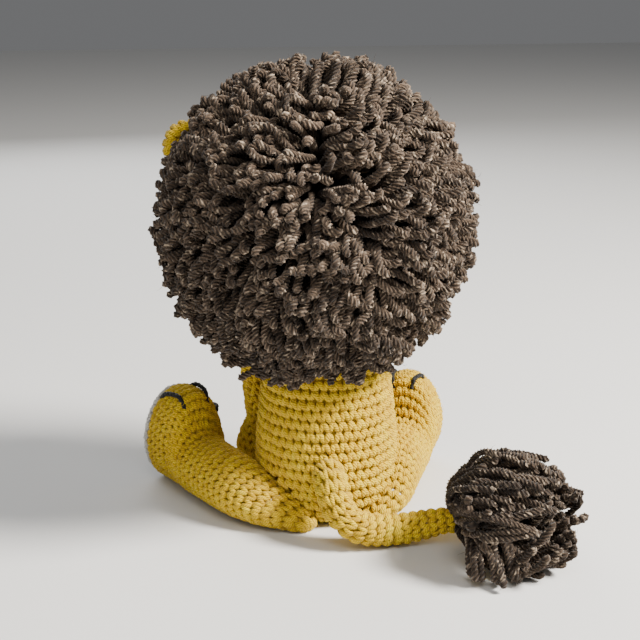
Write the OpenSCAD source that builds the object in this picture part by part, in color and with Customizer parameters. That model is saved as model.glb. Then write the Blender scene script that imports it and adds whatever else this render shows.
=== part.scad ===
// Crocheted lion soft toy, seated, with a strand mane and a tufted tail.
// Units are millimetres. +Z is up, the lion faces -Y and its left side is +X.
// The origin is on the surface the toy sits on, below the middle of the body.

/* [Body] */
// Largest radius of the bell-shaped body
body_r = 30; // [29.5:0.1:30.2]
// Thickness of the crocheted fabric
fabric_t = 2.6; // [2.2:0.1:2.8]
// Radius of the flat seat
seat_r = 19; // [18:0.5:20]

/* [Head] */
// Radius of the stuffed head
head_r = 42; // [41:0.25:42]
// Sideways lean of the head centre towards the lion's left
head_lean = 4; // [3:0.5:5]
// Radius of the cream muzzle
muzzle_r = 15; // [13:0.5:16]
// Radius of each eye dome
eye_r = 4.5; // [3.5:0.25:5]
// Radius of each ear
ear_r = 13; // [11:0.5:14]

/* [Mane] */
// Outer radius of the mane measured from the head centre
mane_r = 66; // [62:0.5:68]
// Depth of the waves that stand for the rows of strands
mane_wave = 1.2; // [0.5:0.1:1.5]

/* [Legs] */
// Spread of the left leg from straight ahead
left_spread = 25; // [24:0.5:26]
// Spread of the right leg from straight ahead
right_spread = 26; // [25:0.5:27]

/* [Arms] */
// Radius of the arm tube
arm_r = 6.1; // [5.6:0.1:6.2]

/* [Tail] */
// Radius of the tail tube at its root
tail_r = 6.8; // [6.2:0.1:6.8]
// Radius of the tuft on the tail
tuft_r = 28; // [25:0.5:28]
// Height of the tuft
tuft_h = 44; // [40:1:46]

/* [Colours] */
// Yarn of the body: red, green and blue
yarn_yellow = [0.82, 0.66, 0.26];
// Yarn of the mane and tuft: red, green and blue
yarn_brown = [0.30, 0.25, 0.21];
// Yarn of the soles and muzzle: red, green and blue
yarn_cream = [0.90, 0.87, 0.80];
// Embroidery thread: red, green and blue
thread_black = [0.06, 0.06, 0.06];
// Fibre filling: red, green and blue
fibre_white = [0.95, 0.95, 0.94];

/* [Hidden] */
$fn = 72;
gap = 0.15;
body_h = 82.5;
head_c = [head_lean, 0, 125.2];
neck = [2, 0];
left_hip = [30, 24];
right_hip = [-17.5, 24];
left_pin = [18.5, 15.5];
right_pin = [-15.5, 17.5];
shoulder = [27.5, -13, 74];
tail_root = [6, 30.7, 26.5];
tip_pin = [-38.2, 49.5, 9.4];
tuft_c = [-61, 68];
thread_r = 1.0;
bore_r = 1.06;

// outline of the body, radius then height, from the seat to the crown
body_line = [[seat_r, 0], [24.8, 2.6], [28.4, 7.6], [29.8, 14.5],
  [body_r, 23], [29.5, 34], [28.3, 46], [26.8, 58], [24.9, 69], [21.9, 76], [17, 80.3],
  [10, 82.2]];

// centre line and radius of each arm; the right hand lies nearer the middle
arm_left = [[28.2, -13.3, 74, arm_r], [28.2, -16.2, 64, arm_r - 0.1],
  [27.4, -20.2, 54, arm_r - 0.2], [26.4, -23.3, 44, arm_r - 0.4],
  [25.2, -26, 35, arm_r - 0.6], [24.9, -28.6, 29, 5.9],
  [26.0, -31, 22, 7.2], [26.4, -32.5, 17, 7.9]];
arm_right = [[-28, -13.2, 74, arm_r], [-27.8, -17, 64, arm_r - 0.1],
  [-26.2, -21.3, 54, arm_r - 0.2], [-24.2, -26, 44, arm_r - 0.4],
  [-21.6, -30, 35, arm_r - 0.6], [-19.4, -33, 29, 5.9],
  [-18, -35.2, 22.5, 7.2], [-17.7, -36, 17.5, 7.9]];

// leg rings: distance along the leg, half height, half width, backward tilt,
// shift towards the middle and turn of the ring away from the middle
foot_rows = [[32, 13, 13.2, 0, 0, 0], [42, 13.2, 13.4, 0, 0, 0],
  [48, 13.7, 13.6, 0, 0, 2], [51.2, 15, 13.9, 0, 0, 3],
  [53.8, 18.6, 14.2, 1, 0, 4], [57, 21.8, 14.6, 4, 0, 5],
  [61, 22.8, 15, 6, 0, 6], [66, 23, 15.2, 7, 0, 7],
  [70.5, 22.7, 15.2, 7, 0, 8], [74.5, 22, 15, 7, 0, 8]];
left_rows = concat([[-11, 1.6, 3.2, 0, 13.5, 0], [-9, 3.6, 6.2, 0, 12.8, 0],
  [-5, 5.8, 9.8, 0, 10.6, 0], [0, 7.6, 12, 0, 8, 0],
  [7, 9.6, 13, 0, 4.6, 0], [14, 11.3, 13.3, 0, 2, 0],
  [22, 12.5, 13.2, 0, 0.5, 0]], foot_rows);
right_rows = concat([[-5, 1.6, 3.2, 0, 5, 0], [-3, 3.2, 6.4, 0, 4.6, 0],
  [1, 4.6, 10, 0, 3.6, 0], [6, 6.4, 12.2, 0, 2.4, 0],
  [12, 8.6, 13, 0, 1.2, 0], [19, 11, 13.2, 0, 0.5, 0],
  [26, 12.4, 13.2, 0, 0.2, 0]], foot_rows);

// both ends of each claw stitch: distance along the leg and angle from the
// top of the foot, the outer side positive
left_claw_ends = [[72, 33, 58.5, 25], [67, -16, 58.5, -27],
  [67, -67, 58.5, -58]];
right_claw_ends = [[71, -26, 58.5, -23], [67, 26, 58.5, 15],
  [68, -70, 59, -60]];

// centre line and radius of the tail
tail_line = [[6, 30.7, 26.5, tail_r], [6, 34.6, 26.2, tail_r],
  [5.7, 39.6, 22.4, tail_r - 0.1], [3.8, 43.2, 15.4, tail_r - 0.2],
  [-3.4, 45.8, 9, tail_r - 0.3], [-16, 46, 6.7, 6.3],
  [-27, 46.6, 7.6, 5.9], [-34.4, 47.9, 9.2, 5.1]];

function unit(v) = v / norm(v);
function at(p, i) = p[max(0, min(len(p) - 1, i))];

// smooth curve through the control points
function cr(a, b, c, d, t) =
  0.5 * (2 * b + (c - a) * t + (2 * a - 5 * b + 4 * c - d) * t * t
  + (3 * b - a - 3 * c + d) * t * t * t);
function smooth(p, n) = [
  for (i = [0 : len(p) - 2], k = [0 : n - 1])
    cr(at(p, i - 1), p[i], p[i + 1], at(p, i + 2), k / n),
  p[len(p) - 1]];

// outline moved inwards by t
function inset(p, t) = [
  for (i = [0 : len(p) - 1])
    let (d = unit(at(p, i + 1) - at(p, i - 1)))
      [p[i][0] - t * d[1], p[i][1] + t * d[0]]];

// closed skin over a stack of rings, with a point at each end
module skin(rings, first, last) {
  n = len(rings[0]);
  m = len(rings);
  points = concat([for (r = rings) for (p = r) p], [first, last]);
  sides = [for (i = [0 : m - 2], k = [0 : n - 1])
    [i * n + k, i * n + (k + 1) % n, (i + 1) * n + (k + 1) % n,
     (i + 1) * n + k]];
  start = [for (k = [0 : n - 1]) [n * m, (k + 1) % n, k]];
  end = [for (k = [0 : n - 1])
    [n * m + 1, (m - 1) * n + k, (m - 1) * n + (k + 1) % n]];
  polyhedron(points = points, faces = concat(sides, start, end));
}

function ring(c, t, ref, r, n) =
  let (x = unit(cross(t, ref)), y = cross(x, t))
    [for (k = [0 : n - 1])
      c + x * r * cos(360 * k / n) + y * r * sin(360 * k / n)];
function xyz(q) = [q[0], q[1], q[2]];

// round tube along a line of [x, y, z, radius] points, drawn t inside;
// a flat end of an inner tube stops one step short
module tube(line, ref, t, round0, round1, n) {
  p = smooth(line, 2);
  m = len(p);
  i0 = round0 || t == 0 ? 0 : 1;
  i1 = round1 || t == 0 ? m - 1 : m - 2;
  e = t > 2.3 ? 0.2 : 0;
  tan = [for (i = [0 : m - 1]) unit(xyz(at(p, i + 1)) - xyz(at(p, i - 1)))];
  cap0 = [for (a = round0 ? [78, 58, 38, 18] : [])
    let (r = p[0][3] - t)
      ring(xyz(p[0]) - tan[0] * r * sin(a), tan[0], ref, r * cos(a), n)];
  cap1 = [for (a = round1 ? [18, 38, 58, 78] : [])
    let (r = p[m - 1][3] - t)
      ring(xyz(p[m - 1]) + tan[m - 1] * r * sin(a), tan[m - 1], ref,
        r * cos(a), n)];
  body = [for (i = [i0 : i1])
    let (d = (i == i0 && !round0 ? e : 0) - (i == i1 && !round1 ? e : 0))
      ring(xyz(p[i]) + tan[i] * d, tan[i], ref, p[i][3] - t, n)];
  r0 = round0 ? p[0][3] - t : -e;
  r1 = round1 ? p[m - 1][3] - t : -e;
  skin(concat(cap0, body, cap1), xyz(p[i0]) - tan[i0] * r0,
    xyz(p[i1]) + tan[i1] * r1);
}

// ---------------------------------------------------------------- body

module body_solid(t) {
  p = inset(smooth(body_line, 2), t);
  rotate_extrude()
    polygon(concat([[0, t]], [for (q = p) [q[0], max(t, q[1])]],
      [[0, body_h - t]]));
}

// room for one leg over its whole travel
module leg_room(s, t) {
  p = [for (q = side_rows(s)) if (q[0] < 60)
    [q[0], q[1] + 1 + t, q[2] + 1.7 + t + 0.08 * abs(q[0] - 5), 0, q[4], 0]];
  e = p[len(p) - 1];
  leg_place(s)
    skin([for (q = p) leg_ring(s, q, 0, 24, leg_zc(q) - 0.6 - t)],
      [-s * p[0][4], 3 - p[0][0] + t, leg_zc(p[0]) - 0.6 - t],
      [-s * e[4], -e[0], leg_zc(e)]);
}

module body_room(t) {
  difference() {
    body_solid(t);
    leg_room(1, t);
    leg_room(-1, t);
  }
}

module thread_holes() {
  translate([neck[0], neck[1], 70])
    cylinder(r = bore_r + 0.2, h = 30);
  for (s = [-1, 1]) {
    hip_bore(s);
    translate([s * 12, shoulder[1], shoulder[2]])
      rotate([0, s * 90, 0])
        cylinder(r = bore_r, h = 20);
  }
  translate([tail_root[0], 20, tail_root[2]])
    rotate([-90, 0, 0])
      cylinder(r = bore_r, h = 20);
}

module body_shell() {
  color(yarn_yellow)
    difference() {
      body_room(0);
      body_room(fabric_t);
      thread_holes();
    }
}

module body_stuffing() {
  color(fibre_white)
    difference() {
      body_room(fabric_t + gap);
      thread_holes();
    }
}

// ------------------------------------------------------------- threads

module neck_thread() {
  color(yarn_yellow)
    translate([neck[0], neck[1], 72])
      cylinder(r = thread_r + 0.2, h = 20);
}

module shoulder_thread(s) {
  color(yarn_yellow)
    translate([s * 14, shoulder[1], shoulder[2]])
      rotate([0, s * 90, 0])
        cylinder(r = thread_r, h = 15);
}

module hip_thread(s) {
  color(yarn_yellow)
    translate([pin(s)[0], pin(s)[1], 6])
      cylinder(r = thread_r, h = 25);
}

module left_shoulder_thread() {
  shoulder_thread(1);
}

module right_shoulder_thread() {
  shoulder_thread(-1);
}

module left_hip_thread() {
  hip_thread(1);
}

module right_hip_thread() {
  hip_thread(-1);
}

module tail_thread() {
  color(yarn_yellow)
    translate([tail_root[0], 22, tail_root[2]])
      rotate([-90, 0, 0])
        cylinder(r = thread_r, h = 14);
}

// ---------------------------------------------------------------- head

// local +Z points out of the head, az degrees to the left of the face
module on_head(az, el) {
  translate(head_c)
    rotate([0, 0, az])
      rotate([90 - el, 0, 0])
        children();
}

module eye_profile(extra) {
  rotate_extrude()
    polygon(concat([[0, 35], [1.5 + extra, 35], [1.5 + extra, head_r + 0.3]],
      [for (a = [0 : 10 : 90])
        [eye_r * cos(a), head_r + 0.3 + (eye_r - 1.3) * sin(a)]]));
}

module eye(az) {
  color(thread_black)
    on_head(az, 12)
      eye_profile(0);
}

module washer(az) {
  color(fibre_white)
    on_head(az, 12)
      translate([0, 0, head_r - 3.9])
        difference() {
          cylinder(r = 5.2, h = 0.9);
          translate([0, 0, -1])
            cylinder(r = 1.56, h = 3);
        }
}

eye_az = 21;

module head_shell() {
  color(yarn_yellow)
    difference() {
      translate(head_c)
        sphere(r = head_r);
      translate(head_c)
        sphere(r = head_r - fabric_t);
      translate([neck[0], neck[1], 70])
        cylinder(r = bore_r + 0.2, h = 30);
      for (s = [-1, 1])
        on_head(s * eye_az, 12)
          translate([0, 0, 34])
            cylinder(r = 1.56, h = 12);
    }
}

module head_stuffing() {
  color(fibre_white)
    difference() {
      translate(head_c)
        sphere(r = head_r - fabric_t - gap);
      translate([neck[0], neck[1], 70])
        cylinder(r = bore_r + 0.2, h = 30);
      for (s = [-1, 1])
        on_head(s * eye_az, 12)
          translate([0, 0, 34])
            cylinder(r = 5.6, h = 12);
    }
}

muzzle_c = [head_lean, -34.5, 117.5];

module muzzle_shell() {
  color(yarn_cream)
    difference() {
      translate(muzzle_c)
        sphere(r = muzzle_r);
      translate(muzzle_c)
        sphere(r = muzzle_r - 2.2);
      translate(head_c)
        sphere(r = head_r + gap);
    }
}

module muzzle_stuffing() {
  color(fibre_white)
    difference() {
      translate(muzzle_c)
        sphere(r = muzzle_r - 2.2 - gap);
      translate(head_c)
        sphere(r = head_r + 2 * gap);
    }
}

module nose_embroidery() {
  color(thread_black)
    intersection() {
      difference() {
        translate(muzzle_c)
          sphere(r = muzzle_r + 1.3);
        translate(muzzle_c)
          sphere(r = muzzle_r + 0.1);
      }
      translate([muzzle_c[0], muzzle_c[1], muzzle_c[2] + 8.2])
        rotate([90, 0, 0])
          linear_extrude(height = 30)
            polygon([[-5.2, 2.6], [5.2, 2.6], [1.2, -3.2], [-1.2, -3.2]]);
    }
}

module mouth_arc(a0, a1) {
  rotate([0, 0, a0])
    rotate_extrude(angle = a1 - a0)
      translate([muzzle_r + 0.75, 0])
        circle(r = 0.6, $fn = 24);
}

module mouth_embroidery() {
  color(thread_black)
    translate(muzzle_c)
      rotate([0, 0, -90])
        rotate([90, 0, 0]) {
          mouth_arc(-6, 14);
          for (s = [-1, 1])
            rotate([s * 52, 0, 0])
              rotate([0, 0, -6])
                mouth_arc(-22, -1.5);
        }
}

module left_eye() {
  eye(eye_az);
}

module right_eye() {
  eye(-eye_az);
}

module left_eye_washer() {
  washer(eye_az);
}

module right_eye_washer() {
  washer(-eye_az);
}

module ear(s) {
  color(yarn_yellow)
    difference() {
      translate([head_c[0], -24, head_c[2]])
        rotate([0, s > 0 ? -29 : 209, 0])
          union() {
            translate([53.5, 0, 0])
              rotate([90, 0, 0])
                rotate_extrude()
                  polygon([[0, -2.5], [ear_r - 2, -2.5],
                    [ear_r - 0.6, -1.9], [ear_r, -0.6], [ear_r, 0.6],
                    [ear_r - 0.6, 1.9], [ear_r - 2, 2.5], [0, 2.0]]);
            translate([30, -2.2, -9])
              cube([21.5, 4.4, 18]);
          }
      translate(head_c)
        sphere(r = head_r + gap);
      translate([head_c[0], -24, head_c[2]])
        rotate([0, s > 0 ? -29 : 209, 0])
          translate([54.5, -24.5, 0])
            sphere(r = 23.4);
    }
}

module left_ear() {
  ear(1);
}

module right_ear() {
  ear(-1);
}

// ---------------------------------------------------------------- mane

mane_in = head_r + 0.3;
cap_a = 40;
front_y = -20;

function wave(a) = mane_r + mane_wave * cos(a * 16);

module mane_profile(a0) {
  a1 = acos(front_y / mane_r);
  a2 = acos(front_y / mane_in);
  polygon(concat(
    [for (k = [0 : 28])
      let (a = a0 + (a1 - a0) * k / 28) wave(a) * [sin(a), cos(a)]],
    [for (k = [0 : 14])
      let (a = a2 + (a0 - a2) * k / 14) mane_in * [sin(a), cos(a)]]));
}

// room for the body and, in front, for the two arms
module mane_room() {
  translate([neck[0], neck[1], 20]) {
    cylinder(r = 29.3, h = 68);
    rotate([0, 0, 160])
      rotate_extrude(angle = 220)
        square([40.2, 68]);
  }
}

module mane_sector(start) {
  color(yarn_brown)
    difference() {
      translate(head_c)
        rotate([-90, 0, 0])
          rotate([0, 0, start + 0.2])
            rotate_extrude(angle = 59.6)
              mane_profile(cap_a + 0.3);
      mane_room();
    }
}

module mane_crown() {
  mane_sector(-120);
}

module mane_left_upper() {
  mane_sector(-60);
}

module mane_left_lower() {
  mane_sector(0);
}

module mane_nape() {
  mane_sector(60);
}

module mane_right_lower() {
  mane_sector(120);
}

module mane_right_upper() {
  mane_sector(180);
}

module mane_back() {
  color(yarn_brown)
    translate(head_c)
      rotate([-90, 0, 0])
        rotate_extrude()
          polygon(concat(
            [for (k = [0 : 16])
              let (a = cap_a * k / 16) wave(a) * [sin(a), cos(a)]],
            [for (k = [0 : 8])
              let (a = cap_a * (8 - k) / 8)
                mane_in * [sin(a), cos(a)]]));
}

// ---------------------------------------------------------------- arms

module arm_solid(s, t) {
  tube(s > 0 ? arm_left : arm_right, [1, 0, 0], t, true, true, 24);
}

module arm_bore(s) {
  translate([s * 12, shoulder[1], shoulder[2]])
    rotate([0, s * 90, 0])
      cylinder(r = bore_r, h = 18);
}

module arm_shell(s) {
  color(yarn_yellow)
    difference() {
      arm_solid(s, 0);
      arm_solid(s, 2.2);
      arm_bore(s);
    }
}

module arm_stuffing(s) {
  color(fibre_white)
    difference() {
      arm_solid(s, 2.4);
      arm_bore(s);
    }
}

module left_arm_shell() {
  arm_shell(1);
}

module left_arm_stuffing() {
  arm_stuffing(1);
}

module right_arm_shell() {
  arm_shell(-1);
}

module right_arm_stuffing() {
  arm_stuffing(-1);
}

// ---------------------------------------------------------------- legs

function pin(s) = s > 0 ? left_pin : right_pin;
function claw_ends(s) = s > 0 ? left_claw_ends : right_claw_ends;
function side_rows(s) = s > 0 ? left_rows : right_rows;
function leg_path(s) = smooth(side_rows(s), 2);
function leg_zc(q) = 0.25 + q[1] * cos(q[3]);
function leg_ring(s, q, t, n, zc) =
  let (h = q[1] - t, w = q[2] - t, b = s * q[5], v = h * sin(q[3]))
    [for (k = [0 : n - 1])
      let (a = 360 * k / n)
        [-s * q[4] - w * cos(a) * cos(b) - v * sin(a) * sin(b),
         -q[0] - w * cos(a) * sin(b) + v * sin(a) * cos(b),
         zc + h * cos(q[3]) * sin(a)]];

module leg_place(s) {
  h = s > 0 ? left_hip : right_hip;
  translate([h[0], h[1], 0])
    rotate([0, 0, s > 0 ? left_spread : -right_spread])
      children();
}

module hip_bore(s) {
  translate([pin(s)[0], pin(s)[1], 5.5])
    cylinder(r = bore_r, h = 26.5);
}

// stuffed leg and foot without the sole, drawn t inside, ending at u
module leg_solid(s, t, over) {
  p = [for (q = leg_path(s)) if (q[1] > t * 2 + 0.2) q];
  m = len(p);
  q0 = p[0];
  z0 = leg_zc(q0);
  e = [for (i = [0 : 5]) p[m - 1][i] + (i == 0 ? over : 0)];
  d = t > 0 ? 1.2 : 0.9;
  rings = concat([leg_ring(s, q0, t, 24, z0)],
    [for (i = [1 : m - 2]) leg_ring(s, p[i], t, 24, leg_zc(p[i]))],
    [leg_ring(s, e, t, 24, leg_zc(e))]);
  skin(rings, [-s * q0[4], d - q0[0], z0], [-s * e[4], -e[0], leg_zc(e)]);
}

module leg_shell(s) {
  color(yarn_yellow)
    difference() {
      leg_place(s)
        difference() {
          leg_solid(s, 0, 0);
          leg_solid(s, fabric_t, 2);
        }
      hip_bore(s);
    }
}

module leg_stuffing(s) {
  color(fibre_white)
    difference() {
      leg_place(s)
        leg_solid(s, fabric_t + gap, -0.1);
      hip_bore(s);
    }
}

module foot_sole(s) {
  e = foot_rows[len(foot_rows) - 1];
  o = unit([-s * sin(e[5]), -cos(e[5])]);
  rows = [[0.15, 0.05], [1.5, 0.7], [2.7, 2.4], [3.5, 5.5], [3.9, 10]];
  color(yarn_cream)
    leg_place(s)
      translate([0, -e[0], 0])
        skin([for (q = rows)
          [for (c = leg_ring(s, [0, e[1], e[2], e[3], 0, e[5]], q[1], 24,
            leg_zc(e))) c + q[0] * [-o[0], o[1], 0]]],
          [-0.15 * o[0], 0.15 * o[1], leg_zc(e)],
          [-4.1 * o[0], 4.1 * o[1], leg_zc(e)]);
}

// point on the foot's skin, d outside it
function foot_row(u, i) = lookup(u, [for (q = foot_rows) [q[0], q[i]]]);
function foot_at(s, u, a, d) =
  let (h = foot_row(u, 1) + d, w = foot_row(u, 2) + d, t = foot_row(u, 3),
    b = s * foot_row(u, 5),
    zc = 0.25 + (h - d) * cos(t), v = h * sin(t) * cos(a))
    [s * w * sin(a) * cos(b) - v * sin(b),
     -u + s * w * sin(a) * sin(b) + v * cos(b), zc + h * cos(t) * cos(a)];

module claws(s) {
  color(thread_black)
    leg_place(s)
      for (c = claw_ends(s))
        tube([for (k = [0 : 3])
          let (p = foot_at(s, c[0] + (c[2] - c[0]) * k / 3,
            c[1] + (c[3] - c[1]) * k / 3, 1.4))
            [p[0], p[1], p[2], 0.8]],
          [cos(c[1]), 0, -sin(c[1])], 0, true, true, 8);
}

module left_leg_shell() {
  leg_shell(1);
}

module left_leg_stuffing() {
  leg_stuffing(1);
}

module left_foot_sole() {
  foot_sole(1);
}

module left_claws() {
  claws(1);
}

module right_leg_shell() {
  leg_shell(-1);
}

module right_leg_stuffing() {
  leg_stuffing(-1);
}

module right_foot_sole() {
  foot_sole(-1);
}

module right_claws() {
  claws(-1);
}

// ---------------------------------------------------------------- tail

module tail_solid(t) {
  tube(tail_line, [0, 0, 1], t, false, false, 24);
}

module tip_loop(extra) {
  translate([tip_pin[0], tip_pin[1], 0])
    rotate([0, 0, -21]) {
      for (z = [5.6, 13.2])
        translate([0.3, -0.6 - extra, z - 0.6 - extra])
          cube([6.4 + extra, 1.2 + 2 * extra, 1.2 + 2 * extra]);
      translate([0, 0, 4.6 - extra])
        rotate([0, 0, 90])
          cylinder(r = 0.8 + extra, h = 9.6 + 2 * extra);
    }
}

module tail_shell() {
  color(yarn_yellow)
    difference() {
      tail_solid(0);
      tail_solid(2.2);
      translate([tail_root[0], 20, tail_root[2]])
        rotate([-90, 0, 0])
          cylinder(r = bore_r, h = 18);
      tip_loop(0.05);
    }
}

module tail_stuffing() {
  color(fibre_white)
    difference() {
      tail_solid(2.4);
      translate([tail_root[0], 20, tail_root[2]])
        rotate([-90, 0, 0])
          cylinder(r = bore_r, h = 18);
    }
}

module tail_tip_loop() {
  color(yarn_brown)
    tip_loop(0);
}

module tail_tuft() {
  c = [tuft_c[0], tuft_c[1], 0];
  d = [tuft_c[0] - tip_pin[0], tuft_c[1] - tip_pin[1]];
  h = tuft_h / 2;
  color(yarn_brown)
    difference() {
      union() {
        translate(c)
          rotate_extrude()
            polygon(concat([[0, 0]], [for (a = [-62 : 4 : 88])
              [(tuft_r - 0.7 + 0.7 * cos(a * 12)) * pow(cos(a), 0.8),
               h + h * 1.03 * sin(a) - 0.6 + (a < -58 ? -h * 0.06 : 0)]],
              [[0, tuft_h]]));
        translate([tip_pin[0], tip_pin[1], 6.6])
          cylinder(r = 3.2, h = 5.6);
        translate([tip_pin[0], tip_pin[1], 9.4])
          rotate([0, 0, atan2(d[1], d[0])])
            rotate([0, 90, 0])
              cylinder(r = 2.4, h = 14);
      }
      translate([tip_pin[0], tip_pin[1], 2])
        cylinder(r = 0.86, h = 16);
      translate([tuft_c[0], tuft_c[1], -20])
        cylinder(r = 60, h = 20);
    }
}

// ------------------------------------------------------------- drawing

body_shell();
body_stuffing();
neck_thread();
left_shoulder_thread();
right_shoulder_thread();
left_hip_thread();
right_hip_thread();
tail_thread();
head_shell();
head_stuffing();
muzzle_shell();
muzzle_stuffing();
nose_embroidery();
mouth_embroidery();
left_eye();
right_eye();
left_eye_washer();
right_eye_washer();
left_ear();
right_ear();
mane_crown();
mane_left_upper();
mane_left_lower();
mane_nape();
mane_right_lower();
mane_right_upper();
mane_back();
left_arm_shell();
left_arm_stuffing();
right_arm_shell();
right_arm_stuffing();
left_leg_shell();
left_leg_stuffing();
left_foot_sole();
left_claws();
right_leg_shell();
right_leg_stuffing();
right_foot_sole();
right_claws();
tail_shell();
tail_stuffing();
tail_tip_loop();
tail_tuft();
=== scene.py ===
import math
from functools import partial

import bpy
import numpy as np
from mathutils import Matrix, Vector


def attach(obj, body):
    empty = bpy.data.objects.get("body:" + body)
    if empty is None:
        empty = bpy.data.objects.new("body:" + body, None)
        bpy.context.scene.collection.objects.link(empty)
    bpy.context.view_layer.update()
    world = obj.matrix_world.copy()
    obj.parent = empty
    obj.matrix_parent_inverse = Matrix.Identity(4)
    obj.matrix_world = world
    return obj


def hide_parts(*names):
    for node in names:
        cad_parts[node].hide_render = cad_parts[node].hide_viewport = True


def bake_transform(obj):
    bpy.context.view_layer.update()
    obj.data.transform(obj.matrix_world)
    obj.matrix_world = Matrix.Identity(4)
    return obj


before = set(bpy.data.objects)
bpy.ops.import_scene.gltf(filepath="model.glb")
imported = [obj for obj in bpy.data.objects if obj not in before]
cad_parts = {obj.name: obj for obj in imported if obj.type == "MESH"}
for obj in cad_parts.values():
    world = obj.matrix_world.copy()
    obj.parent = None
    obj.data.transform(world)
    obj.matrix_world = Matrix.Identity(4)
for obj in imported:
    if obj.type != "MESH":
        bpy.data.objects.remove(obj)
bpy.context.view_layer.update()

MM = 0.001
TAU = 2 * math.pi
UP = np.array([0, 0, 1.0])
SIDES = ((1, "left"), (-1, "right"))
rng = np.random.default_rng(20)


# ------------------------------------------------------------ small helpers

def unit(v):
    return v / np.maximum(np.linalg.norm(v, axis=-1, keepdims=True), 1e-9)


def catmull(points, n):
    """Smooth samples through control points, n steps per span."""
    p = np.asarray(points, float)
    q = np.vstack([p[:1], p, p[-1:]])
    out = []
    for i in range(len(p) - 1):
        a, b, c, d = q[i], q[i + 1], q[i + 2], q[i + 3]
        for t in np.arange(n) / n:
            out.append(0.5 * (2 * b + (c - a) * t
                              + (2 * a - 5 * b + 4 * c - d) * t * t
                              + (3 * b - a - 3 * c + d) * t ** 3))
    out.append(p[-1])
    return np.array(out)


def by_length(points):
    """Cumulative length along points, in mm, from all their columns."""
    d = np.linalg.norm(np.diff(points, axis=0), axis=1)
    return np.concatenate([[0], np.cumsum(d)])


def smoothstep(a, b, x):
    t = np.clip((x - a) / (b - a), 0, 1)
    return t * t * (3 - 2 * t)


def look_up(at, known, *columns):
    """The value of each column at some places, ready to scale vectors."""
    return [np.interp(at, known, c)[..., None] for c in columns]


def around(ang, x, y):
    """The direction at an angle from x towards y."""
    return np.cos(ang)[..., None] * x + np.sin(ang)[..., None] * y


def run_along(path):
    """Millimetres run from the start of each of many paths (S, R, 3)."""
    seg = np.linalg.norm(np.diff(path, axis=1), axis=2)
    return np.concatenate([np.zeros((len(path), 1)), np.cumsum(seg, 1)], 1)


def frames_on(path, outward=None):
    """Tangent, normal and side vector at each point of many paths."""
    tan = unit(np.gradient(path, axis=1))
    if outward is None:
        ref = np.where(np.abs(tan[:, :1, 2:3]) < 0.8, UP,
                       np.array([1.0, 0, 0]))
        nrm = np.zeros_like(path)
        nrm[:, 0] = unit(np.cross(tan[:, 0], ref[:, 0]))
        for k in range(1, path.shape[1]):
            before = nrm[:, k - 1]
            nrm[:, k] = unit(before - tan[:, k] * np.sum(
                before * tan[:, k], -1, keepdims=True))
    else:
        nrm = unit(outward - tan * np.sum(outward * tan, -1, keepdims=True))
    return tan, nrm, np.cross(tan, nrm)


def link(obj):
    bpy.context.scene.collection.objects.link(obj)
    return obj


def ring_faces(R, n):
    """Quads between R rings of n points, and a fan of triangles from one
    more point at each end."""
    k = np.arange(n)
    k2 = (k + 1) % n
    r = np.arange(R - 1)[:, None]
    quads = np.stack([r * n + k, r * n + k2, (r + 1) * n + k2,
                      (r + 1) * n + k], -1).reshape(-1, 4)
    tris = np.concatenate([
        np.stack([np.full(n, R * n), k2, k], -1),
        np.stack([np.full(n, R * n + 1), (R - 1) * n + k,
                  (R - 1) * n + k2], -1)])
    return quads, tris


def corners(axis, *pairs):
    """Texture coordinates of the corners of many faces."""
    return np.stack([np.stack(np.broadcast_arrays(*p), -1) for p in pairs],
                    axis)


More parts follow.
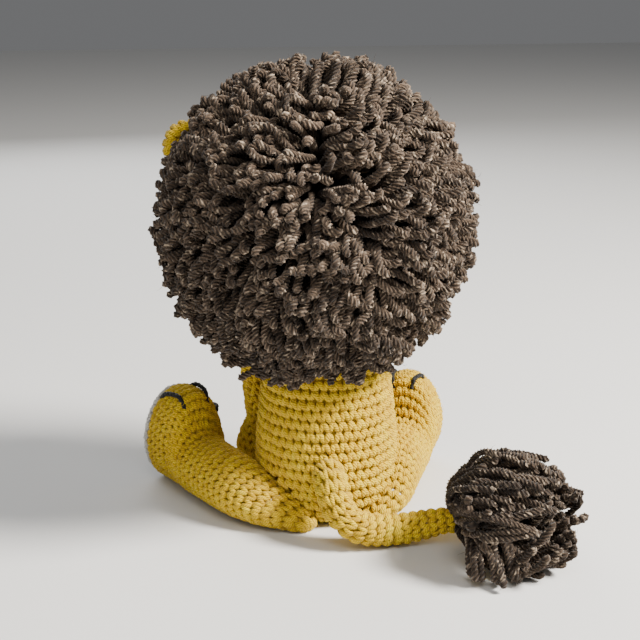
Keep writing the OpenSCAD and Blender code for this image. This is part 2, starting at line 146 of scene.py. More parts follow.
class Soup:
    """Collects closed yarn tubes and skins, then makes one mesh. The mesh
    carries each yarn's tone and shade as a colour attribute."""

    def __init__(self):
        self.v, self.q, self.t = [], [], []
        self.uq, self.ut, self.c = [], [], []
        self.n = 0

    def add(self, verts, quads, tris, uv_q, uv_t, col):
        self.v.append(verts.reshape(-1, 3))
        self.c.append(col.reshape(-1, 4))
        self.q.append(quads.reshape(-1, 4) + self.n)
        self.t.append(tris.reshape(-1, 3) + self.n)
        self.uq.append(uv_q.reshape(-1, 2))
        self.ut.append(uv_t.reshape(-1, 2))
        self.n += len(self.v[-1])

    def tubes(self, path, radius, sides, outward=None, lobes=0, depth=0.0,
              pitch=8.0, tone=None, shade=None, cap=0.6):
        """path (S, R, 3) and radius (S, R): S tubes of R rings each. With
        lobes, the rings turn along the tube, so that the grooves twist."""
        S, R, _ = path.shape
        tan, nrm, side = frames_on(path, outward)
        run = run_along(path)
        turn = np.arange(sides) / sides * TAU
        if tone is None:
            tone = rng.random(S)
        a = turn + np.zeros((S, R, 1))
        if lobes:
            a += (run / pitch * TAU + rng.random((S, 1)) * TAU)[..., None]
        groove = depth * (0.5 - 0.5 * np.cos(lobes * turn))
        rad = radius[:, :, None] * (1 - groove)
        v = path[:, :, None] + rad[..., None] * around(
            a, nrm[:, :, None], side[:, :, None])
        p0 = path[:, 0] - tan[:, 0] * radius[:, :1] * cap
        p1 = path[:, -1] + tan[:, -1] * radius[:, -1:] * cap
        verts = np.concatenate(
            [v.reshape(S, R * sides, 3), p0[:, None], p1[:, None]], 1)
        per = R * sides + 2
        base = (np.arange(S) * per)[:, None, None]
        quads, tris = ring_faces(R, sides)
        # yarn coordinates: turn round the yarn, then millimetres along it
        k = np.arange(sides)
        u0, u1, mid = k / sides, (k + 1) / sides, (k + 0.5) / sides
        run = run + rng.random((S, 1)) * 50
        r0, r1 = run[:, :-1, None], run[:, 1:, None]
        e0, e1 = run[:, :1], run[:, -1:]
        uv_q = corners(3, (u0, r0), (u1, r0), (u1, r1), (u0, r1))
        uv_t = np.concatenate([
            corners(2, (mid, e0 - 1), (u1, e0), (u0, e0)),
            corners(2, (mid, e1 + 1), (u0, e1), (u1, e1))], 1)
        if shade is None:
            shade = np.ones((S, R))
        col = np.zeros((S, per, 4))
        col[..., 0] = tone[:, None]
        col[:, :R * sides, 1] = np.repeat(shade, sides, 1)
        col[:, -2:, 1] = shade[:, [0, -1]]
        col[..., 3] = 1
        self.add(verts, quads + base, tris + base, uv_q, uv_t, col)

    def skin(self, grid, shade=0.25):
        """Closed skin over rings grid (R, n, 3), painted dark by default with
        shade 0.25 as painted shade.
        """
        R, n, _ = grid.shape
        verts = np.concatenate([grid.reshape(-1, 3), [grid[0].mean(0)],
                                [grid[-1].mean(0)]])
        quads, tris = ring_faces(R, n)
        col = np.tile([0.5, shade, 0.0, 1.0], (len(verts), 1))
        self.add(verts, quads, tris, np.zeros((len(quads) * 4, 2)),
                 np.zeros((len(tris) * 3, 2)), col)

    def make(self, name, material, *nodes):
        """One mesh of all that was added, which stands for CAD nodes."""
        v, q, t = [np.concatenate(x) for x in (self.v, self.q, self.t)]
        uv = np.concatenate(self.uq + self.ut)
        mesh = bpy.data.meshes.new(name)
        mesh.vertices.add(len(v))
        mesh.vertices.foreach_set("co", (v * MM).astype(np.float32).ravel())
        mesh.loops.add(q.size + t.size)
        mesh.loops.foreach_set(
            "vertex_index", np.concatenate([q.ravel(), t.ravel()])
            .astype(np.int32))
        mesh.polygons.add(len(q) + len(t))
        starts = np.concatenate([np.arange(0, q.size, 4),
                                 q.size + np.arange(0, t.size, 3)])
        mesh.polygons.foreach_set("loop_start", starts.astype(np.int32))
        mesh.update(calc_edges=True)
        mesh.polygons.foreach_set("use_smooth",
                                  np.ones(len(q) + len(t), bool))
        layer = mesh.uv_layers.new(name="yarn_uv")
        layer.data.foreach_set("uv", uv.astype(np.float32).ravel())
        att = mesh.color_attributes.new("yarn", "FLOAT_COLOR", "POINT")
        att.data.foreach_set(
            "color", np.concatenate(self.c).astype(np.float32).ravel())
        mesh.validate()
        mesh.materials.append(material)
        obj = link(bpy.data.objects.new(name, mesh))
        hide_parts(*nodes)
        return obj


# ---------------------------------------------------------------- materials

def nodes_of(name):
    m = bpy.data.materials.new(name)
    m.use_nodes = True
    nt = m.node_tree
    return m, nt, nt.nodes["Principled BSDF"]


def add(nt, kind, **props):
    n = nt.nodes.new(kind)
    for k, v in props.items():
        if k in n.inputs:
            n.inputs[k].default_value = v
        else:
            setattr(n, k, v)
    return n


def math_node(nt, op, *values, clamp=False):
    n = nt.nodes.new("ShaderNodeMath")
    n.operation = op
    n.use_clamp = clamp
    for i, x in enumerate(values):
        if isinstance(x, (int, float)):
            n.inputs[i].default_value = x
        else:
            nt.links.new(x, n.inputs[i])
    return n.outputs[0]


def mix_color(nt, fac, a, b):
    n = nt.nodes.new("ShaderNodeMix")
    n.data_type = "RGBA"
    nt.links.new(fac, n.inputs[0])
    for i, x in ((6, a), (7, b)):
        if isinstance(x, tuple):
            n.inputs[i].default_value = (*x, 1)
        else:
            nt.links.new(x, n.inputs[i])
    return n.outputs[2]


def noise_at(nt, vector, scale, detail, rough=0.5):
    n = add(nt, "ShaderNodeTexNoise", Scale=scale, Detail=detail,
            Roughness=rough)
    nt.links.new(vector, n.inputs["Vector"])
    return n.outputs[0]


def yarn_material(name, low, mid, high, fleck=None, plies=4, pitch=None,
                  ply_shade=0.5, sheen=0.12, fuzz=1.0, rough=0.85):
    """Spun yarn: plies from the yarn coordinates, fibres from noise. With
    no pitch, the plies lie straight along a mesh that is itself twisted."""
    m, nt, bsdf = nodes_of(name)
    join = nt.links.new
    calc = partial(math_node, nt)
    uv = add(nt, "ShaderNodeUVMap", uv_map="yarn_uv")
    where = add(nt, "ShaderNodeSeparateXYZ")
    join(uv.outputs[0], where.inputs[0])
    round_it, along_it = where.outputs[0], where.outputs[1]
    att = add(nt, "ShaderNodeAttribute", attribute_name="yarn")
    parts = add(nt, "ShaderNodeSeparateColor")
    join(att.outputs["Color"], parts.inputs[0])
    tone, shade = parts.outputs[0], parts.outputs[1]

    def grain(x, across, along, by_tone):
        """Where noise is read: somewhere else for each yarn."""
        at = add(nt, "ShaderNodeCombineXYZ")
        for i, pair in enumerate(((x, across), (along_it, along),
                                  (tone, by_tone))):
            join(calc("MULTIPLY", *pair), at.inputs[i])
        return at.outputs[0]

    # plies: painted shade darkens the groove between two of them
    turn = calc("MULTIPLY", round_it, float(plies))
    phase = turn if pitch is None else calc(
        "ADD", turn, calc("DIVIDE", along_it, pitch / plies))
    wave = calc("COSINE", calc("MULTIPLY", phase, TAU))
    ply = calc("MULTIPLY_ADD", wave, 0.5, 0.5)
    # fibres: noise stretched along the plies
    fibre = noise_at(nt, grain(phase, 6.0, 0.7, 37.0), 1.0, 3.0, 0.65)
    inside = add(nt, "ShaderNodeTexCoord").outputs["Object"]
    fine = noise_at(nt, inside, 1500.0, 2.0, 0.6)
    big = noise_at(nt, inside, 55.0, 2.0)
    # colour
    light = calc("MULTIPLY_ADD", tone, 0.45, calc("MULTIPLY", big, 0.45))
    light = calc("ADD", light, calc(
        "MULTIPLY", calc("SUBTRACT", fibre, 0.5), 1.2))
    ramp = add(nt, "ShaderNodeValToRGB")
    ends = ramp.color_ramp.elements
    ends[0].color, ends[0].position = (*low, 1), 0.1
    ends[1].color, ends[1].position = (*high, 1), 0.85
    ends.new(0.45).color = (*mid, 1)
    join(light, ramp.inputs[0])
    col = ramp.outputs[0]
    if fleck:
        patch = noise_at(nt, grain(round_it, 2.6, 0.55, 91.0), 1.0, 2.0)
        spot = calc("MULTIPLY", calc("SUBTRACT", patch, 0.57), 12.0,
                    clamp=True)
        col = mix_color(nt, calc("MULTIPLY", spot, 0.7), col, fleck)
    # painted shade: the colour falls towards a dark copy of the low colour
    # where the shade attribute is low and in the grooves between plies
    dark = calc("MULTIPLY", shade, calc("POWER", ply, ply_shade))
    dark = calc("MULTIPLY_ADD", dark, 0.8, 0.2)
    col = mix_color(nt, dark, tuple(x * 0.3 for x in low), col)
    join(col, bsdf.inputs["Base Color"])
    bsdf.inputs["Roughness"].default_value = rough
    bsdf.inputs["Specular IOR Level"].default_value = 0.25
    bsdf.inputs["Sheen Weight"].default_value = sheen
    bsdf.inputs["Sheen Roughness"].default_value = 0.5
    # fine relief
    relief = calc("ADD", ply, calc("MULTIPLY", fibre, 0.9 * fuzz))
    relief = calc("ADD", relief, calc("MULTIPLY", fine, 0.5 * fuzz))
    bump = add(nt, "ShaderNodeBump", Strength=0.8, Distance=0.00035)
    join(relief, bump.inputs["Height"])
    join(bump.outputs[0], bsdf.inputs["Normal"])
    return m


def plain_material(name, color, rough, spec=0.5, coat=0.0, bump=0.0):
    m, nt, bsdf = nodes_of(name)
    inside = add(nt, "ShaderNodeTexCoord").outputs["Object"]
    noise = noise_at(nt, inside, 400.0, 3.0)
    col = mix_color(nt, noise, tuple(c * 0.8 for c in color),
                    tuple(min(1, c * 1.15) for c in color))
    nt.links.new(col, bsdf.inputs["Base Color"])
    bsdf.inputs["Roughness"].default_value = rough
    bsdf.inputs["Specular IOR Level"].default_value = spec
    bsdf.inputs["Coat Weight"].default_value = coat
    if bump:
        b = add(nt, "ShaderNodeBump", Strength=bump, Distance=0.0004)
        nt.links.new(noise, b.inputs["Height"])
        nt.links.new(b.outputs[0], bsdf.inputs["Normal"])
    return m


yellow = yarn_material("yellow_yarn_wool", (0.50, 0.275, 0.003),
                       (0.86, 0.56, 0.008), (1.0, 0.77, 0.025),
                       pitch=3.4, ply_shade=0.25, fuzz=1.4)
cream = yarn_material("cream_yarn_wool", (0.62, 0.57, 0.48),
                      (0.80, 0.77, 0.70), (0.90, 0.88, 0.83),
                      pitch=3.4, ply_shade=0.2, sheen=0.35)
brown = yarn_material("brown_yarn_wool", (0.018, 0.010, 0.005),
                      (0.085, 0.055, 0.034), (0.24, 0.168, 0.115),
                      fleck=(0.58, 0.45, 0.32), ply_shade=0.9)
# painted shade: a much darker copy of the brown yarn, for the backing deep
# among the mane's roots
scalp_mat = yarn_material("brown_backing_wool", (0.010, 0.007, 0.005),
                          (0.022, 0.015, 0.011), (0.045, 0.033, 0.025),
                          pitch=8.0, sheen=0.05)
black = yarn_material("black_thread_cotton", (0.004, 0.004, 0.004),
                      (0.012, 0.012, 0.012), (0.03, 0.03, 0.03), plies=2,
                      pitch=2.4, ply_shade=0.3, sheen=0.1, rough=0.6)
eye_mat = plain_material("eye_gloss", (0.008, 0.007, 0.007), 0.08, 0.6, 1.0)
washer_mat = plain_material("washer_matt", (0.8, 0.8, 0.78), 0.5)
fibre_mat = plain_material("fibre_filling", (0.85, 0.85, 0.83), 0.95,
                           bump=1.0)


# ------------------------------------------------------------ crochet maker

ROW = 4.35      # height of a row of stitches
WIDE = 3.75     # width of a stitch
FINE = 0.86     # the limbs are worked a little tighter than the body


def normals(pos, row, ang, dr=0.08, da=0.02):
    """Outward normal of a surface pos(row, angle)."""
    e1 = pos(row + dr, ang) - pos(row - dr, ang)
    e2 = pos(row, ang + da) - pos(row, ang - da)
    return unit(np.cross(e2, e1))


# One leg of the V of a stitch: across, along the rows, height, radius. It
# leaves the hole at the foot of the V, swells and dives again.
STITCH_LEG = np.array([
    [0.02, -0.56, -1.15, 0.70], [0.08, -0.40, -0.15, 1.00],
    [0.18, -0.18, 0.42, 1.20], [0.29, 0.05, 0.58, 1.27],
    [0.38, 0.27, 0.30, 1.18], [0.44, 0.46, -0.40, 0.95],
    [0.46, 0.60, -1.20, 0.60]])
# painted shade along each leg: darker at both ends, where it dives into the
# holes
LEG_SHADE = [0.25, 0.65, 0.95, 1.0, 0.92, 0.6, 0.2]
SLANT = 0.2     # each row starts this part of a stitch further round
LEAN = 0.16     # and each V leans back by this part of one


def stitches_in(pos, row, wide):
    """How many stitches fit in the length round a row, 6 at the least."""
    ring = pos(np.full(97, row + 0.5), np.linspace(0, TAU, 97))
    return max(6, round(by_length(ring)[-1] / wide))


def crochet(name, pos, rows, material, node, keep=None, skin_n=48,
            skin_in=0.6, size=1.0):
    """Rows of V stitches on pos(row, angle), where keep says so."""
    soup = Soup()
    across, up, high, thick = STITCH_LEG.T[:, None]
    paths, rad, nrm, tones = [], [], [], []
    for i in range(rows):
        n = stitches_in(pos, i, WIDE * size)
        base = (np.arange(n) + SLANT * i) / n * TAU
        lean = rng.normal(0, 0.05, (n, 1)) - LEAN
        shift = rng.normal(0, 0.05, (n, 1))
        for s in (-1, 1):
            a = base[:, None] + (s * across + lean * up) / n * TAU
            r = np.clip(i + 0.5 + up + shift, 0.02, rows - 0.02)
            if keep is not None:
                ok = keep(pos(r[:, 3], a[:, 3]))
                a, r = a[ok], r[ok]
            if not len(a):
                continue
            out = normals(pos, r, a)
            lift = high * size + rng.normal(0, 0.08, (len(a), 1))
            paths.append(pos(r, a) + out * lift[..., None])
            nrm.append(out)
            rad.append(thick * size * rng.normal(1, 0.05, (len(a), 1)))
            tones.append(np.clip(rng.normal(0.5, 0.16, len(a)), 0, 1))
    path = np.concatenate(paths)
    soup.tubes(path, np.concatenate(rad), 7, np.concatenate(nrm),
               tone=np.concatenate(tones),
               shade=np.tile(LEG_SHADE, (len(path), 1)), cap=0.5)
    # the fabric's ground, just under the stitches, dark with painted shade
    # that shows in the holes
    rr = np.linspace(0.15, rows - 0.15, max(8, rows * 2))
    R, A = np.meshgrid(rr, np.arange(skin_n) / skin_n * TAU, indexing="ij")
    soup.skin(pos(R, A) - normals(pos, R, A) * skin_in)
    return soup.make(name, material, node)


# ------------------------------------------------------------------- shapes

# For the left side, 1, and the right side, -1: where a leg starts, where
# it is sewn on, and how many degrees it points outward.
HIP = {1: (30.0, 24.0), -1: (-17.5, 24.0)}
PIN = {1: (18.5, 15.5), -1: (-15.5, 17.5)}
SPREAD = {1: 25.0, -1: 26.0}
INSET = 1.3     # the stitches stand this much above the surface below them
OFF_FLOOR = 0.25        # the legs lie this high above the floor
BODY_LOW, BODY_TOP = 1.3, 81.2
HEAD_C = np.array([4.0, 0.0, 125.2])
HEAD_R = 42.0
MANE_C = np.array([5.0, 2.0, 126.0])

# Rows across a leg and its foot: distance from the hip, half height, half
# width, tilt back, sideways shift towards the other leg, turn out.
foot_rows = [
    [32, 13, 13.2, 0, 0, 0], [42, 13.2, 13.4, 0, 0, 0],
    [48, 13.7, 13.6, 0, 0, 2], [51.2, 15, 13.9, 0, 0, 3],
    [53.8, 18.6, 14.2, 1, 0, 4], [57, 21.8, 14.6, 4, 0, 5],
    [61, 22.8, 15, 6, 0, 6], [66, 23, 15.2, 7, 0, 7],
    [70.5, 22.7, 15.2, 7, 0, 8], [74.5, 22, 15, 7, 0, 8]]
leg_tabs = {
    1: catmull([[-11, 1.6, 3.2, 0, 13.5, 0], [-9, 3.6, 6.2, 0, 12.8, 0],
                [-5, 5.8, 9.8, 0, 10.6, 0], [0, 7.6, 12, 0, 8, 0],
                [7, 9.6, 13, 0, 4.6, 0], [14, 11.3, 13.3, 0, 2, 0],
                [22, 12.5, 13.2, 0, 0.5, 0]] + foot_rows, 6),
    -1: catmull([[-5, 1.6, 3.2, 0, 5, 0], [-3, 3.2, 6.4, 0, 4.6, 0],
                 [1, 4.6, 10, 0, 3.6, 0], [6, 6.4, 12.2, 0, 2.4, 0],
                 [12, 8.6, 13, 0, 1.2, 0], [19, 11, 13.2, 0, 0.5, 0],
                 [26, 12.4, 13.2, 0, 0.2, 0]] + foot_rows, 6)}


def ways(turn):
    """Across and ahead, for something level that is turned by an angle."""
    c, s = np.cos(turn), np.sin(turn)
    return np.stack([c, s, 0 * c], -1), np.stack([s, -c, 0 * c], -1)


def leg_frame(s):
    """The hip, the way a leg points and the way across it."""
    across, ahead = ways(math.radians(SPREAD[s]) * s)
    return np.array([*HIP[s], 0]), ahead, across


def in_leg(p, g):
    """Whether points lie in or under a leg grown by g."""
    hit = np.zeros(p.shape[:-1], bool)
    for s in (1, -1):
        o, u, x = leg_frame(s)
        tab = leg_tabs[s]
        d = p - o
        U = np.sum(d * u, -1)
        h, w, dx = [np.interp(U, tab[:, 0], tab[:, k]) for k in (1, 2, 4)]
        X = np.sum(d * x, -1) + s * dx
        Z = np.maximum(p[..., 2] - OFF_FLOOR - h, 0)
        hit |= ((X / (w + g)) ** 2 + (Z / (h + g)) ** 2 < 1) & (
            U > tab[0, 0] - 1 - g)
    return hit


# radius and height
body_line = catmull([[0.3, BODY_LOW], [10, BODY_LOW], [18.6, 1.5],
                     [24.0, 3.6], [27.3, 8.2], [28.5, 14.6], [28.7, 23],
                     [28.2, 34], [27.0, 46], [25.5, 58], [23.6, 69],
                     [20.7, 75.2], [16.2, 79.1], [9.6, 80.9],
                     [0.3, BODY_TOP]], 6)
body_len = by_length(body_line)
BODY_ROWS = round(body_len[-1] / ROW)


def body_surface(inset, g):
    """The bell of the body, pushed in where it lies on the two legs."""
    def pos(row, ang):
        s = np.clip(row / BODY_ROWS, 0, 1) * body_len[-1]
        r = np.interp(s, body_len, body_line[:, 0])
        z = np.interp(s, body_len, body_line[:, 1])
        r = np.maximum(r - inset, 0.2)
        z = np.clip(z, BODY_LOW + inset, BODY_TOP - inset)
        one = np.stack([np.cos(ang), np.sin(ang), 0 * ang], -1)

        def at(k):
            return (r * k)[..., None] * one + z[..., None] * UP
        lo, hi = np.full(r.shape, 0.02), np.ones(r.shape)
        clear = ~in_leg(at(hi), g)
        for _ in range(12):
            mid = (lo + hi) / 2
            bad = in_leg(at(mid), g)
            lo, hi = np.where(bad, lo, mid), np.where(bad, mid, hi)
        return at(np.where(clear, 1.0, lo))
    return pos


body_pos = body_surface(0.0, 0.8)


def tube_pos(line, ref, rounded):
    """Surface of a round tube along [x, y, z, r] points, and its rows."""
    p = catmull(line, 8)
    c, r = p[:, :3], p[:, 3]
    tan = unit(np.gradient(c, axis=0))
    pre = np.linspace(-1, 0, 9)[:-1] if rounded else np.array([])
    post = np.linspace(0, 1, 9)[1:] if rounded else np.array([])
    C = np.concatenate([
        c[0] + tan[0] * (r[0] * np.sin(pre * math.pi / 2))[:, None], c,
        c[-1] + tan[-1] * (r[-1] * np.sin(post * math.pi / 2))[:, None]])
    Rr = np.concatenate([r[0] * np.cos(pre * math.pi / 2), r,
                         r[-1] * np.cos(post * math.pi / 2)])
    T = np.concatenate([np.tile(tan[0], (len(pre), 1)), tan,
                        np.tile(tan[-1], (len(post), 1))])
    step = np.linalg.norm(np.diff(np.column_stack(
        [by_length(C), Rr]), axis=0), axis=1)
    S = np.concatenate([[0], np.cumsum(step)])
    X = unit(np.cross(T, np.array(ref, float)))
    Y = np.cross(T, X)
    rows = round(S[-1] / (ROW * FINE))

    def pos(row, ang):
        s = np.clip(row / rows, 0, 1) * S[-1]
        middle, x, y = [np.concatenate(look_up(s, S, *q.T), -1)
                        for q in (C, X, Y)]
        radius = np.maximum(look_up(s, S, Rr)[0], 0.05)
        return middle + radius * around(ang, x, y)
    return pos, rows


def thinner(line):
    """The surface that the stitches of a tube stand on."""
    return [[*q[:3], q[3] - INSET] for q in line]


arm_lines = {
    1: [[28.2, -13.3, 74, 6.1], [28.2, -16.2, 64, 6.0], [27.4, -20.2, 54, 5.9],
        [26.4, -23.3, 44, 5.7], [25.2, -26, 35, 5.5], [24.9, -28.6, 29, 5.9],
        [26.0, -31, 22, 7.2], [26.4, -32.5, 17, 7.9]],
    -1: [[-28, -13.2, 74, 6.1], [-27.8, -17, 64, 6.0],
         [-26.2, -21.3, 54, 5.9], [-24.2, -26, 44, 5.7],
         [-21.6, -30, 35, 5.5], [-19.4, -33, 29, 5.9],
         [-18, -35.2, 22.5, 7.2], [-17.7, -36, 17.5, 7.9]]}
tail_line = [[6, 30.7, 26.5, 6.8], [6, 34.6, 26.2, 6.8],
             [5.7, 39.6, 22.4, 6.7], [3.8, 43.2, 15.4, 6.6],
             [-3.4, 45.8, 9, 6.5], [-16, 46, 6.7, 6.3],
             [-27, 46.6, 7.6, 6.0], [-34.4, 47.9, 9.2, 5.6],
             [-42.6, 50.6, 11.0, 5.0]]


def leg_pos(s):
    """Surface of a leg with its foot, and its rows."""
    o, u, x = leg_frame(s)
    tab = leg_tabs[s]
    U, DX = tab[:, 0], tab[:, 4]
    H = np.maximum(tab[:, 1] - INSET, 0.1)
    W = np.maximum(tab[:, 2] - INSET, 0.3)
    T = np.radians(tab[:, 3])
    B = np.radians(SPREAD[s] + tab[:, 5]) * s
    Z = OFF_FLOOR + tab[:, 1] * np.cos(T)
    step = np.hypot(np.diff(U), 1.5 * np.diff(H))
    S = np.concatenate([[0], np.cumsum(step)])
    rows = round(S[-1] / (ROW * FINE))

    def pos(row, ang):
        q = np.clip(row / rows, 0, 1) * S[-1]
        uu, h, w, t, z, dx, b = look_up(q, S, U, H, W, T, Z, DX, B)
        ca, sa = np.cos(ang)[..., None], np.sin(ang)[..., None]
        across, ahead = ways(b[..., 0])
        return (o + uu * u - s * dx * x + w * ca * across
                - h * sa * np.sin(t) * ahead + (z + h * sa * np.cos(t)) * UP)
    return pos, rows


def foot_at(s, U, ang, d):
    """Points of the foot, ang degrees from the top, d outside the skin."""
    o, u, _ = leg_frame(s)
    tab = leg_tabs[s]
    h0, w, t, yaw = [np.interp(U, tab[:, 0], tab[:, k])
                     for k in (1, 2, 3, 5)]
    t, b = np.radians(t), np.radians(SPREAD[s] + yaw) * s
    h, w, a = h0 + d, w + d, np.radians(ang)
    across, ahead = ways(b)
    z = OFF_FLOOR + h0 * np.cos(t) + h * np.cos(t) * np.cos(a)
    return (o + U[:, None] * u + (s * w * np.sin(a))[:, None] * across
            - (h * np.sin(t) * np.cos(a))[:, None] * ahead
            + z[:, None] * UP)


# ------------------------------------------------ surfaces, filling, threads

def lathe(c, x, profile):
    """Surface turned round the Y direction through c, and its rows; profile
    is [radius, height along Y], and angle 0 is towards x."""
    T = np.array([0, 1.0, 0])
    X = np.array(x, float)
    Y = np.cross(T, X)
    p = catmull(profile, 6)
    S = by_length(p)
    rows = max(2, round(S[-1] / ROW))

    def pos(row, ang):
        s = np.clip(row / rows, 0, 1) * S[-1]
        r, h = look_up(s, S, *p.T)
        return c + r * around(ang, X, Y) + h * T
    return pos, rows


def ball_profile(r, steps=24):
    a = np.linspace(0.01, math.pi - 0.01, steps)
    return np.stack([r * np.sin(a), -r * np.cos(a)], -1)


def filling(name, pos, rows, inset, node, body, lump=0.5, n=40):
    """Loose fibre filling that stands for an inner solid."""
    soup = Soup()
    rr = np.linspace(0.6, rows - 0.6, max(8, rows))
    aa = np.arange(n) / n * TAU
    R, A = np.meshgrid(rr, aa, indexing="ij")
    G = pos(R, A) - normals(pos, R, A) * (
        inset + lump * rng.random(R.shape))[..., None]
    soup.skin(G, shade=1.0)
    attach(soup.make(name, fibre_mat, node), body)


RING_GAP = 0.8      # between the rings of a thread's mesh


def yarn_line(name, lines, radius, material, body, node, lobes=3,
              depth=0.22, pitch=6.0, sides=9):
    """Twisted yarn along one or more point lists."""
    soup = Soup()
    for line in lines:
        p = catmull(line, 12)
        s = by_length(p)
        k = max(6, int(s[-1] / RING_GAP))
        q = np.linspace(0, s[-1], k)
        path = np.concatenate(look_up(q, s, *p.T), -1)
        soup.tubes(path[None], np.full((1, k), radius), sides, lobes=lobes,
                   depth=depth, pitch=pitch, cap=0.7)
    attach(soup.make(name, material, node), body)


def cloth(name, pos, rows, material, body, node, padded=True, **more):
    """Crochet that moves with one body; padded is not used."""
    obj = crochet(name, pos, rows, material, node, **more)
    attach(obj, body)


# -------------------------------------------------------------------- body
cloth("body_fabric", body_pos, BODY_ROWS, yellow, "torso", "body_shell",
      skin_n=120, keep=lambda p: ~in_leg(p, 1.2) & (p[:, 2] > 1.9))
filling("body_filling", body_surface(3.0, 4.2), BODY_ROWS, 0.0,
        "body_stuffing", "torso", lump=0.4)

# -------------------------------------------------------- legs, soles, claws
SOLE_WIDE, SOLE_HIGH = 14.4, 21.2
# how far out a place on the sole lies, and how far the sole bulges there
SOLE_DOME = catmull([[1.0, -0.3], [0.97, 1.0], [0.86, 1.9], [0.6, 2.6],
                     [0.3, 2.9], [0.004, 3.0]], 6)
sole_arc = by_length(SOLE_DOME * np.array([17.5, 1.0]))
sole_rows = max(3, round(sole_arc[-1] / ROW))
CLAW_LIFT = np.array([-0.6, 0.9, 1.3, 1.3, 1.3, 0.9, -0.8])

# Each claw runs from one place on the foot to another: distance from the
# hip and degrees from the top of the foot, twice.
CLAWS = {1: [(73.5, 34, 55.5, 24), (68, -17, 56, -28), (68, -67, 56, -56)],
         -1: [(72, -26, 56.0, -22), (68, 27, 55, 12), (70, -71, 57, -58)]}
for s, side in SIDES:
    o0, u0, _ = leg_frame(s)
    pos, rows = leg_pos(s)
    leg = crochet(side + "_leg_fabric", pos, rows, yellow,
                  side + "_leg_shell", size=FINE)
    a = np.array([*PIN[s], 13.0]) * MM
    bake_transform(leg)
    filling(side + "_leg_filling",
            lambda r, g: pos(np.clip(r, 4.0, rows - 0.5), g), rows, 2.2,
            side + "_leg_stuffing", side + "_leg")

    end = foot_rows[-1]
    t = math.radians(end[3])
    across, out = ways(math.radians(SPREAD[s] + end[5]) * s)
    face = out * math.cos(t) + UP * math.sin(t)
    upright = UP * math.cos(t) - out * math.sin(t)
    centre = o0 + u0 * end[0] + UP * (OFF_FLOOR + end[1] * math.cos(t))

    def sole_pos(row, ang):
        q = np.clip(row / sole_rows, 0, 1) * sole_arc[-1]
        k, h = look_up(q, sole_arc, *SOLE_DOME.T)
        return centre + h * face + k * around(
            ang, SOLE_WIDE * across, SOLE_HIGH * upright)
    cloth(side + "_sole_fabric", sole_pos, sole_rows, cream, side + "_leg",
          side + "_foot_sole")

    k = np.linspace(0, 1, 7)
    lines = [foot_at(s, U0 + (U1 - U0) * k, a0 + (a1 - a0) * k, CLAW_LIFT)
             for U0, a0, U1, a1 in CLAWS[s]]
    yarn_line(side + "_claw_stitches", lines, 1.15, black, side + "_leg",
              side + "_claws", lobes=2, depth=0.25, pitch=4.0, sides=8)

# --------------------------------------------------------------------- arms
for s, side in SIDES:
    pos, rows = tube_pos(thinner(arm_lines[s]), [1, 0, 0], True)
    cloth(side + "_arm_fabric", pos, rows, yellow, side + "_arm",
          side + "_arm_shell", size=FINE)
    filling(side + "_arm_filling", pos, rows, 1.4,
            side + "_arm_stuffing", side + "_arm", lump=0.3, n=20)

# --------------------------------------------------------------------- tail
pos, rows = tube_pos(thinner(tail_line), [1, 0.2, 0], False)
tail = crochet("tail_fabric", pos, rows, yellow, "tail_shell", size=FINE)
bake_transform(tail)
filling("tail_filling", lambda r, g: pos(np.clip(r, 0, rows - 3.0), g),
        rows, 1.4, "tail_stuffing", "tail", lump=0.3, n=20)

# --------------------------------------------------------------------- head
head, hrows = lathe(HEAD_C, [1, 0, 0], ball_profile(HEAD_R - INSET))
cloth("head_fabric", head, hrows, yellow, "head", "head_shell",
      keep=lambda p: p[:, 1] < 8, skin_n=64)
filling("head_filling", head, hrows, 2.6, "head_stuffing", "head")

MUZ = np.array([4.0, -34.5, 117.5])
MUZ_R = 15.0
muz, mrows = lathe(MUZ, [1, 0, 0], ball_profile(MUZ_R - INSET, 16))
cloth("muzzle_fabric", muz, mrows, cream, "head", "muzzle_shell",
      keep=lambda p: np.linalg.norm(p - HEAD_C, axis=-1) > 40)
filling("muzzle_filling", muz, mrows, 2.2, "muzzle_stuffing", "head",
        lump=0.3, n=24)


def on_muzzle(x, z, lift):
    """Points on the front of the muzzle, lifted off it."""
    r = MUZ_R + lift
    q = np.stack([x, -np.sqrt(np.maximum(r * r - x * x - z * z, 1)), z], -1)
    return MUZ + q


NOSE_Z = 8.2    # above the muzzle's middle
lines = []
for k in range(15):
    z = NOSE_Z + 2.4 - k * 0.42
    w = np.interp(z - NOSE_Z, [-3.2, 2.6], [1.2, 5.2])
    x = np.linspace(-w, w, 7)
    lines.append(on_muzzle(x, np.full(7, z) - 0.1 * (k % 2),
                           np.array([0.3, 1.5, 1.8, 1.9, 1.8, 1.5, 0.3])))
yarn_line("nose_stitches", lines, 0.42, black, "head", "nose_embroidery",
          lobes=2, depth=0.15, pitch=3.0, sides=6)

z = np.linspace(5.2, -3.0, 8)
lines = [on_muzzle(z * 0, z, np.array([0.6, 1.6, 1.6, 1.6, 1.6, 1.6, 1.6,
                                       0.8]))]
a = np.linspace(0, 1, 9)
for s in (-1, 1):
    lines.append(on_muzzle(s * 8.5 * a, -3.0 - 3.0 * np.sin(a * 2.4),
                           1.4 + 0 * a))
yarn_line("mouth_stitches", lines, 0.7, black, "head", "mouth_embroidery",
          lobes=2, depth=0.15, pitch=3.0, sides=8)

EAR_TILT = math.radians(29)
EAR_OUT = 50            # from the head's middle
EAR_Y = -24.0
EAR_LONG = 0.3          # the ears are this much longer than wide
EAR_PROFILE = [[0.05, -0.2], [4, -0.5], [8, -1.2], [10.6, -1.6],
               [11.9, -1.2], [12.3, 0], [11.6, 1.0], [8, 1.3], [4, 1.4],
               [0.05, 1.4]]


def ear_middle(s):
    return HEAD_C + np.array([s * EAR_OUT * math.cos(EAR_TILT), EAR_Y,
                              EAR_OUT * math.sin(EAR_TILT)])


